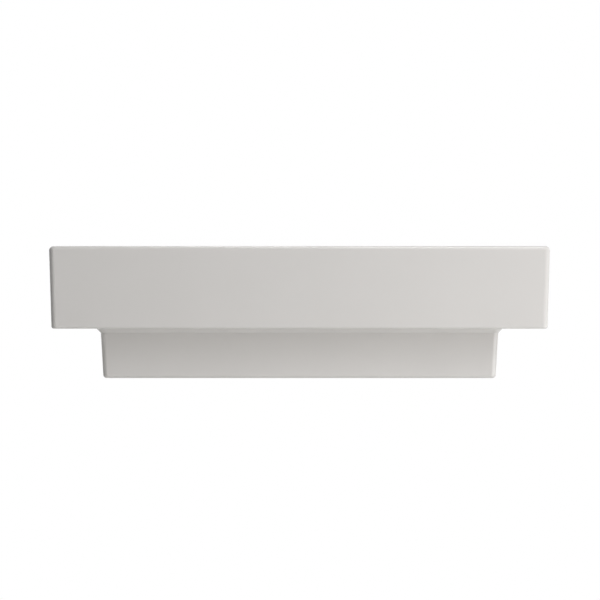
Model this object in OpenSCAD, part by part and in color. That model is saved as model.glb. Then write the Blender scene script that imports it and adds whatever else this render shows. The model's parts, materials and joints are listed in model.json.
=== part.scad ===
// Wall-hung washbasin: a square-edged upper slab with a rectangular bowl over a set-back lower box,
// with its overflow ring, click waste and wall fixings.
// The origin lies on the wall plane, midway between the two fixing studs. The front faces -Y.

/* [Basin outline] */
// Width across the rim
basin_w = 600; // [560:5:700]
// Depth from the wall to the front of the rim
basin_d = 470; // [450:5:520]
// Height of the upper slab, from its underside to the rim
slab_h = 99; // [98:1:106]
// Height of the lower box below the slab
skirt_h = 61; // [60:1:80]
// Slab's overhang past the lower box, at the sides and the front
overhang = 55; // [40:0.5:60]
// Lean of the slab's side, from rim to underside
slab_draft = 2.5; // [1:0.1:4]
// Lean of the lower box's side, from top to bottom
skirt_draft = 2.6; // [1:0.1:4]
// Radius of the rim's outer edge
rim_edge_r = 5.5; // [2:0.5:6]
// Radius of the slab's lower edge
slab_edge_r = 3; // [2:0.5:5]
// Radius of the vertical edges
corner_r = 6.5; // [6:0.5:9]
// Radius where the slab's underside meets the lower box
fillet_r = 8; // [3:0.5:9]
// Radius of the lower box's bottom edge
skirt_edge_r = 4.5; // [2:0.5:5]

/* [Bowl] */
// Width of the rim at each side of the bowl
side_rim_w = 20; // [18:1:30]
// Width of the rim in front of the bowl
front_rim_w = 20; // [18:1:30]
// Depth of the tap deck behind the bowl
deck_d = 115; // [110:1:130]
// Depth of the bowl at the edge of its floor
bowl_depth = 85; // [80:1:87]
// Fall of the floor from its edge to the drain
floor_fall = 12; // [8:1:14]
// Lean of the bowl's walls over their height
wall_lean = 7; // [4:1:12]
// Radius of the bowl's corners in plan
bowl_corner_r = 34; // [28:1:45]
// Radius between the bowl's walls and floor
floor_r = 26; // [16:1:30]
// Radius of the bowl's lip
lip_r = 5; // [3:0.5:7]

/* [China] */
// Thickness of the lower box's walls and of the wall behind the bowl
wall_t = 12; // [10:1:13]
// Thickness of the wall that hangs on the studs
back_wall_t = 14; // [12:1:18]
// Thickness of the tap deck
deck_t = 14; // [12:1:20]
// Thickness of the bowl's floor
floor_t = 14; // [12:1:15]
// Radius of the hollow's inside corners
hollow_r = 12; // [8:1:14]

/* [Holes in the china] */
// Radius of the tap hole
tap_hole_r = 17.5; // [16:0.5:18.5]
// Distance from the wall to the tap hole's centre
tap_to_wall = 58; // [50:1:62]
// Radius of the overflow hole
overflow_hole_r = 11; // [10:0.5:12]
// Drop from the rim to the overflow hole's centre
overflow_drop = 35; // [32:1:42]
// Radius of the drain hole
drain_hole_r = 23; // [22.5:0.5:24]
// Radius of the seat that the waste's flange lies in
seat_r = 33.5; // [33:0.5:35]
// Depth of that seat
seat_depth = 4; // [3.5:0.5:5]
// Radius of the boss under the drain
boss_r = 42; // [38:1:46]
// Thickness of the china at the drain, seat to boss
boss_h = 28; // [26:1:30]
// Inside width of the overflow duct
duct_w = 24; // [20:1:28]
// Inside depth of the overflow duct
duct_gap = 11; // [9:1:12]
// Wall of the overflow duct
duct_wall = 7; // [5:1:8]

/* [Wall fixings] */
// Distance between the two studs
fix_spacing = 280; // [240:5:320]
// Drop from the rim to the studs
fix_drop = 100; // [96:1:104]
// Radius of the stud's shank in the wall
stud_r = 5; // [4:0.5:6]
// Length of the plain shank in the wall
shank_len = 20; // [15:1:25]
// Length of the wood thread and its point
wood_thread_len = 52; // [40:1:70]
// Length of machine thread in front of the wall
stud_front = 38; // [36:1:46]
// Radius of the bush's spigot
bush_r = 10.7; // [9:0.1:11.5]
// Radius of the bush's flange
bush_flange_r = 16; // [15:1:18]
// Thickness of the bush's flange
bush_flange_t = 3; // [2:0.5:4]
// Outer radius of the steel washer
washer_r = 14; // [12:0.5:15]
// Thickness of the steel washer
washer_t = 2; // [1.5:0.5:3]
// Width across flats of the fixing nut
fix_nut_af = 17; // [15:1:19]
// Thickness of the fixing nut
fix_nut_t = 8; // [6:0.5:10]

/* [Waste] */
// Radius of the waste's flange
flange_r = 32; // [31:0.5:32.5]
// Thickness of the flange
flange_t = 2.2; // [2:0.1:3]
// Radius of the waste's threaded tail
tail_r = 20.95; // [20:0.05:21.2]
// Wall of the tail
tail_wall = 2.45; // [2:0.05:3]
// Length of thread left free for the trap
trap_thread_len = 12; // [10:0.5:13]
// Thickness of the soft ring under the flange
gasket_t = 1.5; // [1:0.1:1.8]
// Height of the rubber cone washer below the boss
taper_t = 7; // [6:0.5:9]
// Wall of the rubber cone at its narrow end
cone_top_wall = 1; // [0.8:0.1:1.5]
// Radius of the rings and washer under the boss
under_ring_r = 31; // [29:0.5:34]
// Thickness of the slip ring
slip_t = 1.5; // [1:0.1:2]
// Width across flats of the back nut
back_nut_af = 54; // [50:1:58]
// Thickness of the back nut
back_nut_t = 8; // [6:0.5:10]
// Width of the waste's overflow slots
slot_w = 18; // [14:1:20]
// Height of the waste's overflow slots
slot_h = 8; // [6:0.5:9]
// Height of the cross above the end of the tail
cross_up = 13; // [12:0.5:16]
// Thickness of the cross
cross_t = 4; // [3:0.5:5]
// Width of the cross's arms
cross_w = 4; // [3:0.5:5]

/* [Plug] */
// Travel of the plug between open and closed
travel = 9; // [7:0.5:10]
// Radius of the cap
cap_r = 30; // [29:0.5:31]
// Thickness of the cap's edge
cap_edge_t = 1.6; // [1.2:0.1:2.5]
// Rise of the cap's dome above its edge
dome_h = 3.6; // [2:0.1:5]
// Inner radius of the seal
seal_r = 22.5; // [22:0.1:23.5]
// Width of the seal
seal_w = 4; // [3:0.1:5]
// Height of the seal
seal_h = 2.4; // [2:0.1:3]
// Radius of the stem
post_r = 4; // [3:0.1:4.5]
// Width across flats of the stem's nut
locknut_af = 13; // [12:0.5:14]
// Thickness of the stem's nut
locknut_t = 4; // [3:0.1:5]

/* [Click mechanism] */
// Outer radius of the housing
housing_r = 9.5; // [9.2:0.1:11]
// Radius of the housing's bore
housing_bore_r = 8.1; // [7.9:0.1:8.3]
// Depth of the housing's rim below the flange's top
housing_sink = 6.7; // [6:0.1:8]
// Thickness of the housing's floor
housing_floor_t = 4; // [3:0.5:5]
// Thickness of the gland above the housing
gland_t = 3; // [2:0.5:3]
// Length of the gland's spigot in the housing
gland_spigot = 3; // [2:0.5:4]
// Radius of the plunger's shaft
plunger_r = 6.2; // [5.8:0.1:6.4]
// Thickness of the plunger's foot
foot_t = 3; // [2:0.5:4]
// Height of the cam teeth
tooth_h = 1.5; // [1:0.1:2]
// Number of cam teeth
teeth = 8; // [6:1:8]
// Height of the rotor
rotor_h = 5; // [4:0.5:6]
// Radius of the pin that carries the rotor
rotor_pin_r = 2.5; // [2:0.1:3]
// Mean radius of the spring
spring_r = 6; // [5.6:0.1:6.4]
// Wire diameter of the spring
wire_d = 1; // [0.8:0.1:1.2]
// Turns of the spring
turns = 6; // [5:1:7]

/* [Clearances] */
// Radial clearance of a nut or ring on its thread
thread_gap = 0.1; // [0.05:0.01:0.2]
// Gap between pieces that move past each other
run_gap = 0.3; // [0.2:0.05:0.4]
// Radial clearance of bushes, washers and spigots
fit_gap = 0.3; // [0.2:0.05:0.5]

/* [Hidden] */
$fn = 96;

// Heights of the china
rim_z = fix_drop;
slab_z = rim_z - slab_h;
base_z = slab_z - skirt_h;
floor_z = rim_z - bowl_depth;
drain_z = floor_z - floor_fall;
seat_z = drain_z - seat_depth;
boss_z = seat_z - boss_h;

// Insets of the lower box from the rim's outline, at its top and bottom
skirt_in = slab_draft + overhang;
skirt_in_low = skirt_in + skirt_draft;

// The bowl in plan
bowl_a = basin_w / 2 - side_rim_w;
bowl_b = (basin_d - front_rim_w - deck_d) / 2;
bowl_y = -deck_d - bowl_b;
lean_angle = atan(wall_lean / bowl_depth);
// China left flat round the seat, and the short flats of the rings about the drain
drain_flat = 3;
ring_flat = 0.4;
// How fast the bowl's corners tighten towards its floor, and the least radius of any corner
corner_shrink = 0.7;
least_r = 1;

// Rings in one turn of the spring, and sides of its wire
turn_rings = 8;
wire_sides = 6;

// Steps of a quarter turn on each kind of edge
edge_steps = 4;
corner_steps = 5;
bowl_steps = 8;

// Overlap that makes a cut or a union clean
eps = 1;
// Length by which the outline runs past the wall plane before it is cut off there
run_out = 90;

// Heights of the waste's stack
flange_z = seat_z + gasket_t;
flange_top = flange_z + flange_t;
taper_z = boss_z - taper_t;
slip_z = taper_z - slip_t;
back_nut_z = slip_z - back_nut_t;
// Groove between the two threads of the tail
relief_w = 1;
relief_depth = 0.8;
trap_thread_z = back_nut_z - 2 * relief_w;
tail_z = trap_thread_z - trap_thread_len;
cross_z = tail_z + cross_up;
tail_bore_r = tail_r - tail_wall;
throat_r = tail_bore_r + flange_t;
duct_z = boss_z + duct_wall;
slot_z = duct_z + (duct_gap - slot_h) / 2;

// Short lengths of the plug and its mechanism: the plunger's end above the gland when it is pressed,
// the boss under the cap, the stem's ends from the plunger's foot and from the cap's top, the pin's end
// below the rotor, and the end of the housing's stud above the end of the tail
press_clear = 0.5;
cap_boss_h = 1;
stem_above_foot = 2;
stem_below_top = 2.5;
pin_reach = 2;
stud_setback = 5;

// Heights of the click mechanism, with the plug open
housing_z = cross_z + cross_t;
housing_top = flange_top - housing_sink;
gland_top = housing_top + gland_t;
foot_top = housing_top - gland_spigot - run_gap;
crown_z = foot_top - foot_t - tooth_h;
rotor_top = crown_z - run_gap;
rotor_z = rotor_top - rotor_h;
plunger_top = gland_top + travel + press_clear;
spring_z = housing_z + housing_floor_t;
spring_top = rotor_z - run_gap;
pin_z = rotor_z - pin_reach;
tooth_slot = 2;
foot_r = housing_bore_r - run_gap;

// Heights of the plug, open
boss_under_cap_r = 8;
cap_z = plunger_top + locknut_t + cap_boss_h;
seal_z = flange_top + run_gap + travel;
groove_depth = seal_z + seal_h + thread_gap - cap_z;
post_bottom = foot_top + stem_above_foot;
cap_top = cap_z + cap_edge_t + dome_h;
post_top = cap_top - stem_below_top;
dome_sphere_r = (pow(cap_r, 2) + pow(dome_h, 2)) / (2 * dome_h);

// Arc in the plane of inset and height
function arc(ci, cz, r, a0, a1, n) =
    [for (k = [0 : n]) let (a = a0 + (a1 - a0) * k / n) [ci + r * cos(a), cz + r * sin(a)]];

// Quarter circle in plan
function quarter(cx, cy, r, a0, n) =
    [for (k = [0 : n]) let (a = a0 + 90 * k / n) [cx + r * cos(a), cy + r * sin(a)]];

// Rounded rectangle between x0, y0 and x1, y1 at height z, anticlockwise from above
function ring(x0, y0, x1, y1, r, z, n) = [
    for (p = concat(
        quarter(x1 - r, y1 - r, r, 0, n),
        quarter(x0 + r, y1 - r, r, 90, n),
        quarter(x0 + r, y0 + r, r, 180, n),
        quarter(x1 - r, y0 + r, r, 270, n)
    )) [p[0], p[1], z]
];

// Ring of the outer shape, set in from the rim's outline
function outline_ring(inset, z, r) = ring(
    -basin_w / 2 + inset, -basin_d + inset, basin_w / 2 - inset, run_out - inset,
    max(r, least_r), z, corner_steps
);

// Ring of the bowl, set in from the bowl's edge
function bowl_ring(inset, z) = ring(
    -bowl_a + inset, bowl_y - bowl_b + inset, bowl_a - inset, bowl_y + bowl_b - inset,
    bowl_corner_r - corner_shrink * inset, z, bowl_steps
);

// Round ring about the drain, with flats long enough to keep its points apart
function drain_ring(r, z, n) = ring(-r, bowl_y - r, r, bowl_y + r, r - ring_flat, z, n);

// Solid through a stack of rings with equal counts, listed from the bottom up
module loft(rings) {
    m = len(rings[0]);
    last = len(rings) - 1;
    polyhedron(
        points = [for (r = rings) each r],
        faces = concat(
            [[for (i = [0 : m - 1]) i]],
            [for (k = [0 : last - 1]) for (i = [0 : m - 1])
                let (a = k * m + i, b = k * m + (i + 1) % m) [a, a + m, b + m]],
            [for (k = [0 : last - 1]) for (i = [0 : m - 1])
                let (a = k * m + i, b = k * m + (i + 1) % m) [a, b + m, b]],
            [[for (i = [m - 1 : -1 : 0]) last * m + i]]
        )
    );
}

// Closed hollow with straight walls and a rounded ceiling
module hollow(x, y0, y1, z0, z1, r) {
    loft(concat(
        [ring(-x, y0, x, y1, r, z0, corner_steps)],
        [for (p = arc(r, z1 - r, r, 180, 90, edge_steps))
            ring(-x + p[0], y0 + p[0], x - p[0], y1 - p[0], r - p[0] + least_r, p[1], corner_steps)]
    ));
}

// Outer shape of the china, from the bottom edge up to the rim
module china_outline() {
    base_edge = arc(skirt_in_low + skirt_edge_r, base_z + skirt_edge_r, skirt_edge_r, 270, 180, edge_steps);
    neck = arc(skirt_in - fillet_r, slab_z - fillet_r, fillet_r, 0, 90, edge_steps);
    slab_edge = arc(slab_draft + slab_edge_r, slab_z + slab_edge_r, slab_edge_r, 270, 180, edge_steps);
    rim_edge = arc(rim_edge_r, rim_z - rim_edge_r, rim_edge_r, 180, 90, edge_steps);
    loft(concat(
        [for (p = base_edge) outline_ring(p[0], p[1], corner_r - (p[0] - skirt_in_low))],
        [for (p = neck) outline_ring(p[0], p[1], corner_r - (p[0] - skirt_in))],
        [for (p = slab_edge) outline_ring(p[0], p[1], corner_r - (p[0] - slab_draft))],
        [for (p = rim_edge) outline_ring(p[0], p[1], corner_r - p[0])]
    ));
}

// Space of the bowl, from the drain up past the rim
module bowl_space() {
    turn_z = floor_z + floor_r;
    turn_in = wall_lean * (rim_z - turn_z) / bowl_depth + floor_r / cos(lean_angle);
    lip_in = wall_lean * lip_r / bowl_depth;
    loft(concat(
        [drain_ring(seat_r + drain_flat, drain_z, bowl_steps)],
        [for (p = arc(turn_in, turn_z, floor_r, 270, 180 + lean_angle, bowl_steps)) bowl_ring(p[0], p[1])],
        [for (p = arc(lip_in - lip_r, rim_z - lip_r, lip_r, 0, 90, edge_steps)) bowl_ring(p[0], p[1])],
        [bowl_ring(lip_in - lip_r, rim_z + eps)]
    ));
}

// Space inside the lower box, with a ceiling that follows the bowl's floor
module box_space() {
    x = basin_w / 2 - skirt_in_low - wall_t;
    front = -basin_d + skirt_in_low + wall_t;
    ceiling_z = floor_z - floor_t;
    loft(concat(
        [ring(-x, front, x, -back_wall_t, hollow_r, base_z - eps, bowl_steps)],
        [for (p = arc(hollow_r, ceiling_z - hollow_r, hollow_r, 180, 90, edge_steps)) ring(
            -x + p[0], front + p[0], x - p[0], -back_wall_t - p[0],
            hollow_r - p[0] + least_r, p[1], bowl_steps
        )],
        [drain_ring(boss_r + hollow_r, drain_z - floor_t, bowl_steps)]
    ));
}

// Hollow under the tap deck and the throat that joins it to the lower box
module deck_space() {
    front = -deck_d + wall_t;
    back = -back_wall_t;
    ceiling_z = rim_z - deck_t;
    hollow(basin_w / 2 - slab_draft - wall_t, front, back, slab_z + wall_t, ceiling_z, hollow_r);
    hollow(basin_w / 2 - skirt_in_low - wall_t, front, back, base_z - eps, ceiling_z - eps, hollow_r);
}

// Outside of the overflow duct: down behind the bowl, then under its floor to the boss
module duct_shell() {
    side = duct_w / 2 + duct_wall;
    back = -deck_d + wall_t + duct_gap + duct_wall;
    low = duct_z - duct_wall;
    translate([-side, -deck_d, low]) cube([2 * side, back + deck_d, rim_z - deck_t / 2 - low]);
    translate([-side, bowl_y, low]) cube([2 * side, back - bowl_y, drain_z - duct_z]);
}

// Inside of the overflow duct
module duct_space() {
    y = -deck_d + wall_t;
    top = rim_z - overflow_drop + overflow_hole_r;
    translate([-duct_w / 2, y, duct_z]) cube([duct_w, duct_gap, top - duct_z]);
    translate([-duct_w / 2, bowl_y, duct_z]) cube([duct_w, y + duct_gap - bowl_y, duct_gap]);
}

// Places a child on the bowl's rear wall at the overflow, +Z pointing into the bowl
module at_overflow() {
    y = -deck_d - wall_lean * overflow_drop / bowl_depth;
    translate([0, y, rim_z - overflow_drop]) rotate([90 - lean_angle, 0, 0]) children();
}

// Places a child on the drain's axis
module at_drain() {
    translate([0, bowl_y, 0]) children();
}

// Places a child at both studs, +Z pointing to the front
module at_studs() {
    for (side = [-1, 1]) translate([side * fix_spacing / 2, 0, 0]) rotate([90, 0, 0]) children();
}

// Ring with a bore, standing on z = 0
module washer(outer_r, bore_r, h) {
    difference() {
        cylinder(r = outer_r, h = h);
        translate([0, 0, -eps]) cylinder(r = bore_r, h = h + 2 * eps);
    }
}

// Hexagon nut with a bore, standing on z = 0
module hex_nut(across_flats, bore_r, h) {
    difference() {
        cylinder(r = across_flats / 2 / cos(30), h = h, $fn = 6);
        translate([0, 0, -eps]) cylinder(r = bore_r, h = h + 2 * eps);
    }
}

// Upright helical tube of wire about the Z axis, as rings of points along its turns
function coil_point(a, r, h, turns) = [r * cos(a), r * sin(a), h * a / (360 * turns)];
function coil_rings(r, wire, h, turns) = [
    for (k = [0 : turn_rings * turns]) let (a = 360 * k / turn_rings, c = coil_point(a, r, h, turns)) [
        for (s = [0 : wire_sides - 1]) let (b = 360 * s / wire_sides)
            c + wire / 2 * [cos(a) * cos(b), sin(a) * cos(b), sin(b)]
    ]
];
function coil_gap(r, wire, h, turns) = let (
    points = [for (k = [0 : turn_rings * turns]) coil_point(360 * k / turn_rings, r, h, turns)]
) min([
    for (i = [0 : turn_rings * (turns - 1)]) for (j = [i + turn_rings / 2 : turn_rings * turns])
        norm(points[i] - points[j]) - wire
]);

// The fired and glazed body, one casting
module basin_body() {
    color("#E6E5E0") difference() {
        union() {
            difference() {
                china_outline();
                box_space();
                deck_space();
            }
            at_drain() translate([0, 0, boss_z]) cylinder(r = boss_r, h = drain_z - boss_z - eps);
            duct_shell();
        }
        bowl_space();
        duct_space();
        at_drain() translate([0, 0, seat_z]) cylinder(r = seat_r, h = seat_depth + eps);
        at_drain() translate([0, 0, boss_z - eps]) cylinder(r = drain_hole_r, h = boss_h + 2 * eps);
        at_overflow() translate([0, 0, -wall_t - duct_gap / 2])
            cylinder(r = overflow_hole_r, h = 2 * wall_t);
        translate([0, -tap_to_wall, rim_z - deck_t - 2 * eps])
            cylinder(r = tap_hole_r, h = deck_t + 4 * eps);
        at_studs() translate([0, 0, -eps]) cylinder(r = bush_r + fit_gap, h = back_wall_t + 2 * eps);
        translate([-basin_w, 0, base_z - eps])
            cube([2 * basin_w, run_out + eps, rim_z - base_z + 2 * eps]);
    }
}

// Chromed ring that lines the overflow hole
module overflow_ring() {
    tube_r = overflow_hole_r - fit_gap;
    tube_wall = 1.2;
    tube_setback = 2;
    flange_over = 4.5;
    flange_h = 1.5;
    wall_gap = 0.1;
    color("silver") at_overflow() difference() {
        union() {
            translate([0, 0, tube_setback - wall_t]) cylinder(r = tube_r, h = wall_t - tube_setback + eps);
            translate([0, 0, wall_gap]) cylinder(r = overflow_hole_r + flange_over, h = flange_h);
        }
        translate([0, 0, -wall_t]) cylinder(r = tube_r - tube_wall, h = 2 * wall_t);
    }
}

// Flange, slotted tail and cross of the waste, one chromed casting
module waste_body() {
    hub_r = 7;
    stud_hole_r = post_r + thread_gap;
    color("silver") at_drain() {
        difference() {
            union() {
                translate([0, 0, flange_z]) cylinder(r = flange_r, h = flange_t);
                translate([0, 0, tail_z]) cylinder(r = tail_r, h = flange_z - tail_z + eps);
            }
            translate([0, 0, tail_z - eps]) cylinder(r = tail_bore_r, h = flange_top - tail_z + 2 * eps);
            translate([0, 0, flange_z]) cylinder(r1 = tail_bore_r, r2 = throat_r, h = flange_t);
            translate([-slot_w / 2, -2 * tail_r, slot_z]) cube([slot_w, 4 * tail_r, slot_h]);
            translate([0, 0, trap_thread_z]) difference() {
                cylinder(r = tail_r + eps, h = relief_w);
                translate([0, 0, -eps]) cylinder(r = tail_r - relief_depth, h = relief_w + 2 * eps);
            }
        }
        difference() {
            union() {
                translate([0, 0, cross_z]) cylinder(r = hub_r, h = cross_t);
                intersection() {
                    union() {
                        translate([-tail_r, -cross_w / 2, cross_z])
                            cube([2 * tail_r, cross_w, cross_t]);
                        translate([-cross_w / 2, -tail_r, cross_z])
                            cube([cross_w, 2 * tail_r, cross_t]);
                    }
                    translate([0, 0, cross_z]) cylinder(r = tail_bore_r + tail_wall / 2, h = cross_t);
                }
            }
            translate([0, 0, cross_z - eps]) cylinder(r = stud_hole_r, h = cross_t + 2 * eps);
        }
    }
}

// Soft ring between the flange and its seat
module flange_gasket() {
    setback = 2;
    color("dimgray") at_drain() translate([0, 0, seat_z])
        washer(flange_r - setback, tail_r + fit_gap, gasket_t);
}

// Rubber washer whose cone enters the drain hole from below
module taper_washer() {
    cone_h = taper_t / 2;
    color("dimgray") at_drain() difference() {
        union() {
            translate([0, 0, taper_z]) cylinder(r = under_ring_r, h = taper_t);
            translate([0, 0, boss_z])
                cylinder(r1 = drain_hole_r - fit_gap, r2 = tail_r + cone_top_wall, h = cone_h);
        }
        translate([0, 0, taper_z - eps]) cylinder(r = tail_r + fit_gap, h = taper_t + cone_h + 2 * eps);
    }
}

// Slip ring that keeps the nut from dragging the rubber
module slip_washer() {
    color("white") at_drain() translate([0, 0, slip_z])
        washer(under_ring_r, tail_r + fit_gap, slip_t);
}

// Hexagon nut that clamps the waste to the boss
module back_nut() {
    color("goldenrod") at_drain() translate([0, 0, back_nut_z])
        hex_nut(back_nut_af, tail_r + thread_gap, back_nut_t);
}

// Domed cap that covers the drain
module plug_cap() {
    socket_r = post_r + thread_gap;
    dome_z = cap_top - dome_sphere_r;
    edge_angle = asin((dome_sphere_r - dome_h) / dome_sphere_r);
    color("silver") at_drain() difference() {
        union() {
            rotate_extrude() polygon(concat(
                [[0, cap_z], [cap_r, cap_z]],
                arc(0, dome_z, dome_sphere_r, edge_angle, 90, 2 * edge_steps)
            ));
            translate([0, 0, plunger_top + locknut_t])
                cylinder(r = boss_under_cap_r, h = cap_z - plunger_top - locknut_t + eps);
        }
        translate([0, 0, cap_z - cap_boss_h - eps])
            cylinder(r = socket_r, h = post_top + thread_gap - cap_z + cap_boss_h + eps);
        translate([0, 0, cap_z - eps])
            washer(seal_r + seal_w + thread_gap, seal_r - thread_gap, groove_depth + eps);
    }
}

// Rubber ring in the groove under the cap
module plug_seal() {
    color("dimgray") at_drain() translate([0, 0, seal_z]) washer(seal_r + seal_w, seal_r, seal_h);
}

// Threaded stem from the plunger to the cap
module plug_post() {
    color("lightgray") at_drain() translate([0, 0, post_bottom])
        cylinder(r = post_r, h = post_top - post_bottom);
}

// Nut that fixes the cap's height on the stem
module post_locknut() {
    color("lightgray") at_drain() translate([0, 0, plunger_top])
        hex_nut(locknut_af, post_r + thread_gap, locknut_t);
}

// Tube of the click mechanism with the stud under it
module click_housing() {
    stud_end_z = tail_z + stud_setback;
    color("whitesmoke") at_drain() {
        difference() {
            translate([0, 0, housing_z]) cylinder(r = housing_r, h = housing_top - housing_z);
            translate([0, 0, spring_z]) cylinder(r = housing_bore_r, h = housing_top - spring_z + eps);
        }
        translate([0, 0, stud_end_z]) cylinder(r = post_r, h = housing_z - stud_end_z + eps);
    }
}

// Collar that keeps the plunger in the housing
module click_gland() {
    low = housing_top - gland_spigot;
    color("lightgray") at_drain() difference() {
        union() {
            translate([0, 0, housing_top]) cylinder(r = housing_r, h = gland_t);
            translate([0, 0, low]) cylinder(r = housing_bore_r - thread_gap, h = gland_spigot + eps);
        }
        translate([0, 0, low - eps]) cylinder(r = plunger_r + run_gap, h = gland_top - low + 2 * eps);
    }
}

// Ring of cam teeth standing on z = 0
module crown() {
    difference() {
        washer(foot_r, rotor_pin_r + 2 * run_gap, tooth_h);
        for (k = [0 : teeth - 1]) rotate(360 * k / teeth)
            translate([0, -tooth_slot / 2, -eps]) cube([foot_r + eps, tooth_slot, tooth_h + 2 * eps]);
    }
}

// Plunger: shaft, foot with cam teeth, and the pin that carries the rotor
module click_plunger() {
    color("whitesmoke") at_drain() {
        difference() {
            union() {
                translate([0, 0, foot_top - eps]) cylinder(r = plunger_r, h = plunger_top - foot_top + eps);
                translate([0, 0, foot_top - foot_t]) cylinder(r = foot_r, h = foot_t);
            }
            translate([0, 0, post_bottom - thread_gap])
                cylinder(r = post_r + thread_gap, h = plunger_top - post_bottom + eps);
        }
        translate([0, 0, crown_z]) crown();
        translate([0, 0, pin_z]) cylinder(r = rotor_pin_r, h = foot_top - foot_t - pin_z + eps);
    }
}

// Rotor that turns a step with each press
module click_rotor() {
    grooves = 4;
    groove_in = 1;
    color("white") at_drain() difference() {
        translate([0, 0, rotor_z]) washer(foot_r, rotor_pin_r + run_gap, rotor_h);
        for (k = [1 : grooves]) rotate(360 * (k - 0.5) / grooves)
            translate([foot_r - groove_in, -tooth_slot, rotor_z - eps])
                cube([groove_in + eps, 2 * tooth_slot, rotor_h + 2 * eps]);
    }
}

// Compression spring between the housing's floor and the rotor
module click_spring() {
    height = spring_top - spring_z - wire_d;
    echo("click_spring least gap to itself", coil_gap(spring_r, wire_d, height, turns));
    color("gray") at_drain() translate([0, 0, spring_z + wire_d / 2])
        loft(coil_rings(spring_r, wire_d, height, turns));
}

// Nut under the cross that holds the housing
module click_nut() {
    color("lightgray") at_drain() translate([0, 0, cross_z - locknut_t])
        hex_nut(locknut_af, post_r + thread_gap, locknut_t);
}

// Studs: machine thread in front of the wall, plain shank and wood thread behind it
module hanger_bolts() {
    thread_r = stud_r - thread_gap;
    thread_depth = 0.5;
    tip_r = 0.5;
    core_r = stud_r - thread_depth;
    point_len = 2 * stud_r;
    point_z = -shank_len - wood_thread_len;
    color("lightgray") at_studs() {
        cylinder(r = thread_r, h = stud_front);
        translate([0, 0, -shank_len]) cylinder(r = stud_r, h = shank_len);
        translate([0, 0, point_z + point_len]) cylinder(r = core_r, h = wood_thread_len - point_len);
        translate([0, 0, point_z]) cylinder(r1 = tip_r, r2 = core_r, h = point_len);
    }
}

// Plastic bushes that keep the steel off the china
module fixing_bushes() {
    off_wall = 1;
    color("white") at_studs() difference() {
        union() {
            translate([0, 0, off_wall]) cylinder(r = bush_r, h = back_wall_t - off_wall + eps);
            translate([0, 0, back_wall_t]) cylinder(r = bush_flange_r, h = bush_flange_t);
        }
        cylinder(r = stud_r + fit_gap, h = back_wall_t + bush_flange_t + eps);
    }
}

// Steel washers under the nuts
module fixing_washers() {
    color("lightgray") at_studs() translate([0, 0, back_wall_t + bush_flange_t])
        washer(washer_r, stud_r + fit_gap, washer_t);
}

// Hexagon nuts that hold the basin to the wall
module fixing_nuts() {
    color("lightgray") at_studs() translate([0, 0, back_wall_t + bush_flange_t + washer_t])
        hex_nut(fix_nut_af, stud_r, fix_nut_t);
}

basin_body();
overflow_ring();
waste_body();
flange_gasket();
taper_washer();
slip_washer();
back_nut();
plug_cap();
plug_seal();
plug_post();
post_locknut();
click_housing();
click_gland();
click_plunger();
click_rotor();
click_spring();
click_nut();
hanger_bolts();
fixing_bushes();
fixing_washers();
fixing_nuts();
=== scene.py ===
"""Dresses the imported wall-hung basin: glazed china, chromed click waste, wall fixings and the studio."""

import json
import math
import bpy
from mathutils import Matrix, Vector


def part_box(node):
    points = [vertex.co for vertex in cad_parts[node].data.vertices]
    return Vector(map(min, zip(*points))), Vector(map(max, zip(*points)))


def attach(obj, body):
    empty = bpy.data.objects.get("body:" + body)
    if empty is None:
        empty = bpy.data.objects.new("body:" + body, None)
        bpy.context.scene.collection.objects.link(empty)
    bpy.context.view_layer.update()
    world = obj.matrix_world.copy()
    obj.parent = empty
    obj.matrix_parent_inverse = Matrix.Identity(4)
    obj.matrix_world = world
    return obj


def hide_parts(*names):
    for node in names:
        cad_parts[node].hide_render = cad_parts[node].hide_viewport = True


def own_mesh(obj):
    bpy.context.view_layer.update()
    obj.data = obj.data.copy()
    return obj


bl_info = {
    "name": "Wall-hung Basin",
    "version": (1, 0, 0),
    "blender": (4, 5, 0),
    "location": "View3D > Sidebar > Basin",
    "description": "Builds the china, waste, fixings and studio of a wall-hung basin",
    "category": "Add Mesh",
}

import bmesh
import bpy
from bpy.props import FloatProperty, FloatVectorProperty, IntProperty, PointerProperty
from bpy.types import Operator, Panel, PropertyGroup
from mathutils import Matrix, Vector

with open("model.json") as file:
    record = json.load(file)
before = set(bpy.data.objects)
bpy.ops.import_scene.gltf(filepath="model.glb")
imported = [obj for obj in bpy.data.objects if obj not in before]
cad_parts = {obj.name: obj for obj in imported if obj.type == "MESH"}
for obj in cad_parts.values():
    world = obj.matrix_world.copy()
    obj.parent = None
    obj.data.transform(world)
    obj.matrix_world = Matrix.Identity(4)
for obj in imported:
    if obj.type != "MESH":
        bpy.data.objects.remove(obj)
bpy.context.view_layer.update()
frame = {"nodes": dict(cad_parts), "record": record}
MM = 0.001

# Places that the frame gives
CHINA_LOW, CHINA_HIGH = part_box("basin_body")
WASTE_LOW, WASTE_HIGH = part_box("waste_body")
DRAIN = Vector((0, (WASTE_LOW.y + WASTE_HIGH.y) / 2, 0))
MOUNTS = {m["name"]: m for m in frame["record"]["mounts"]}


def linear(hex_code):
    """sRGB hex code as linear red, green and blue."""
    levels = [int(hex_code[i : i + 2], 16) / 255 for i in (1, 3, 5)]
    return tuple(v / 12.92 if v <= 0.04045 else ((v + 0.055) / 1.055) ** 2.4 for v in levels)


def length(name, description, size, least=0):
    """A length property. Its default and its least value are given in millimetres."""
    limits = {"default": size * MM, "min": least * MM}
    return FloatProperty(name=name, description=description, unit="LENGTH", **limits)


def colour(name, description, hex_code):
    """A colour property with an sRGB default."""
    limits = {"default": linear(hex_code), "min": 0, "max": 1}
    return FloatVectorProperty(name=name, description=description, subtype="COLOR", **limits)


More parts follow.
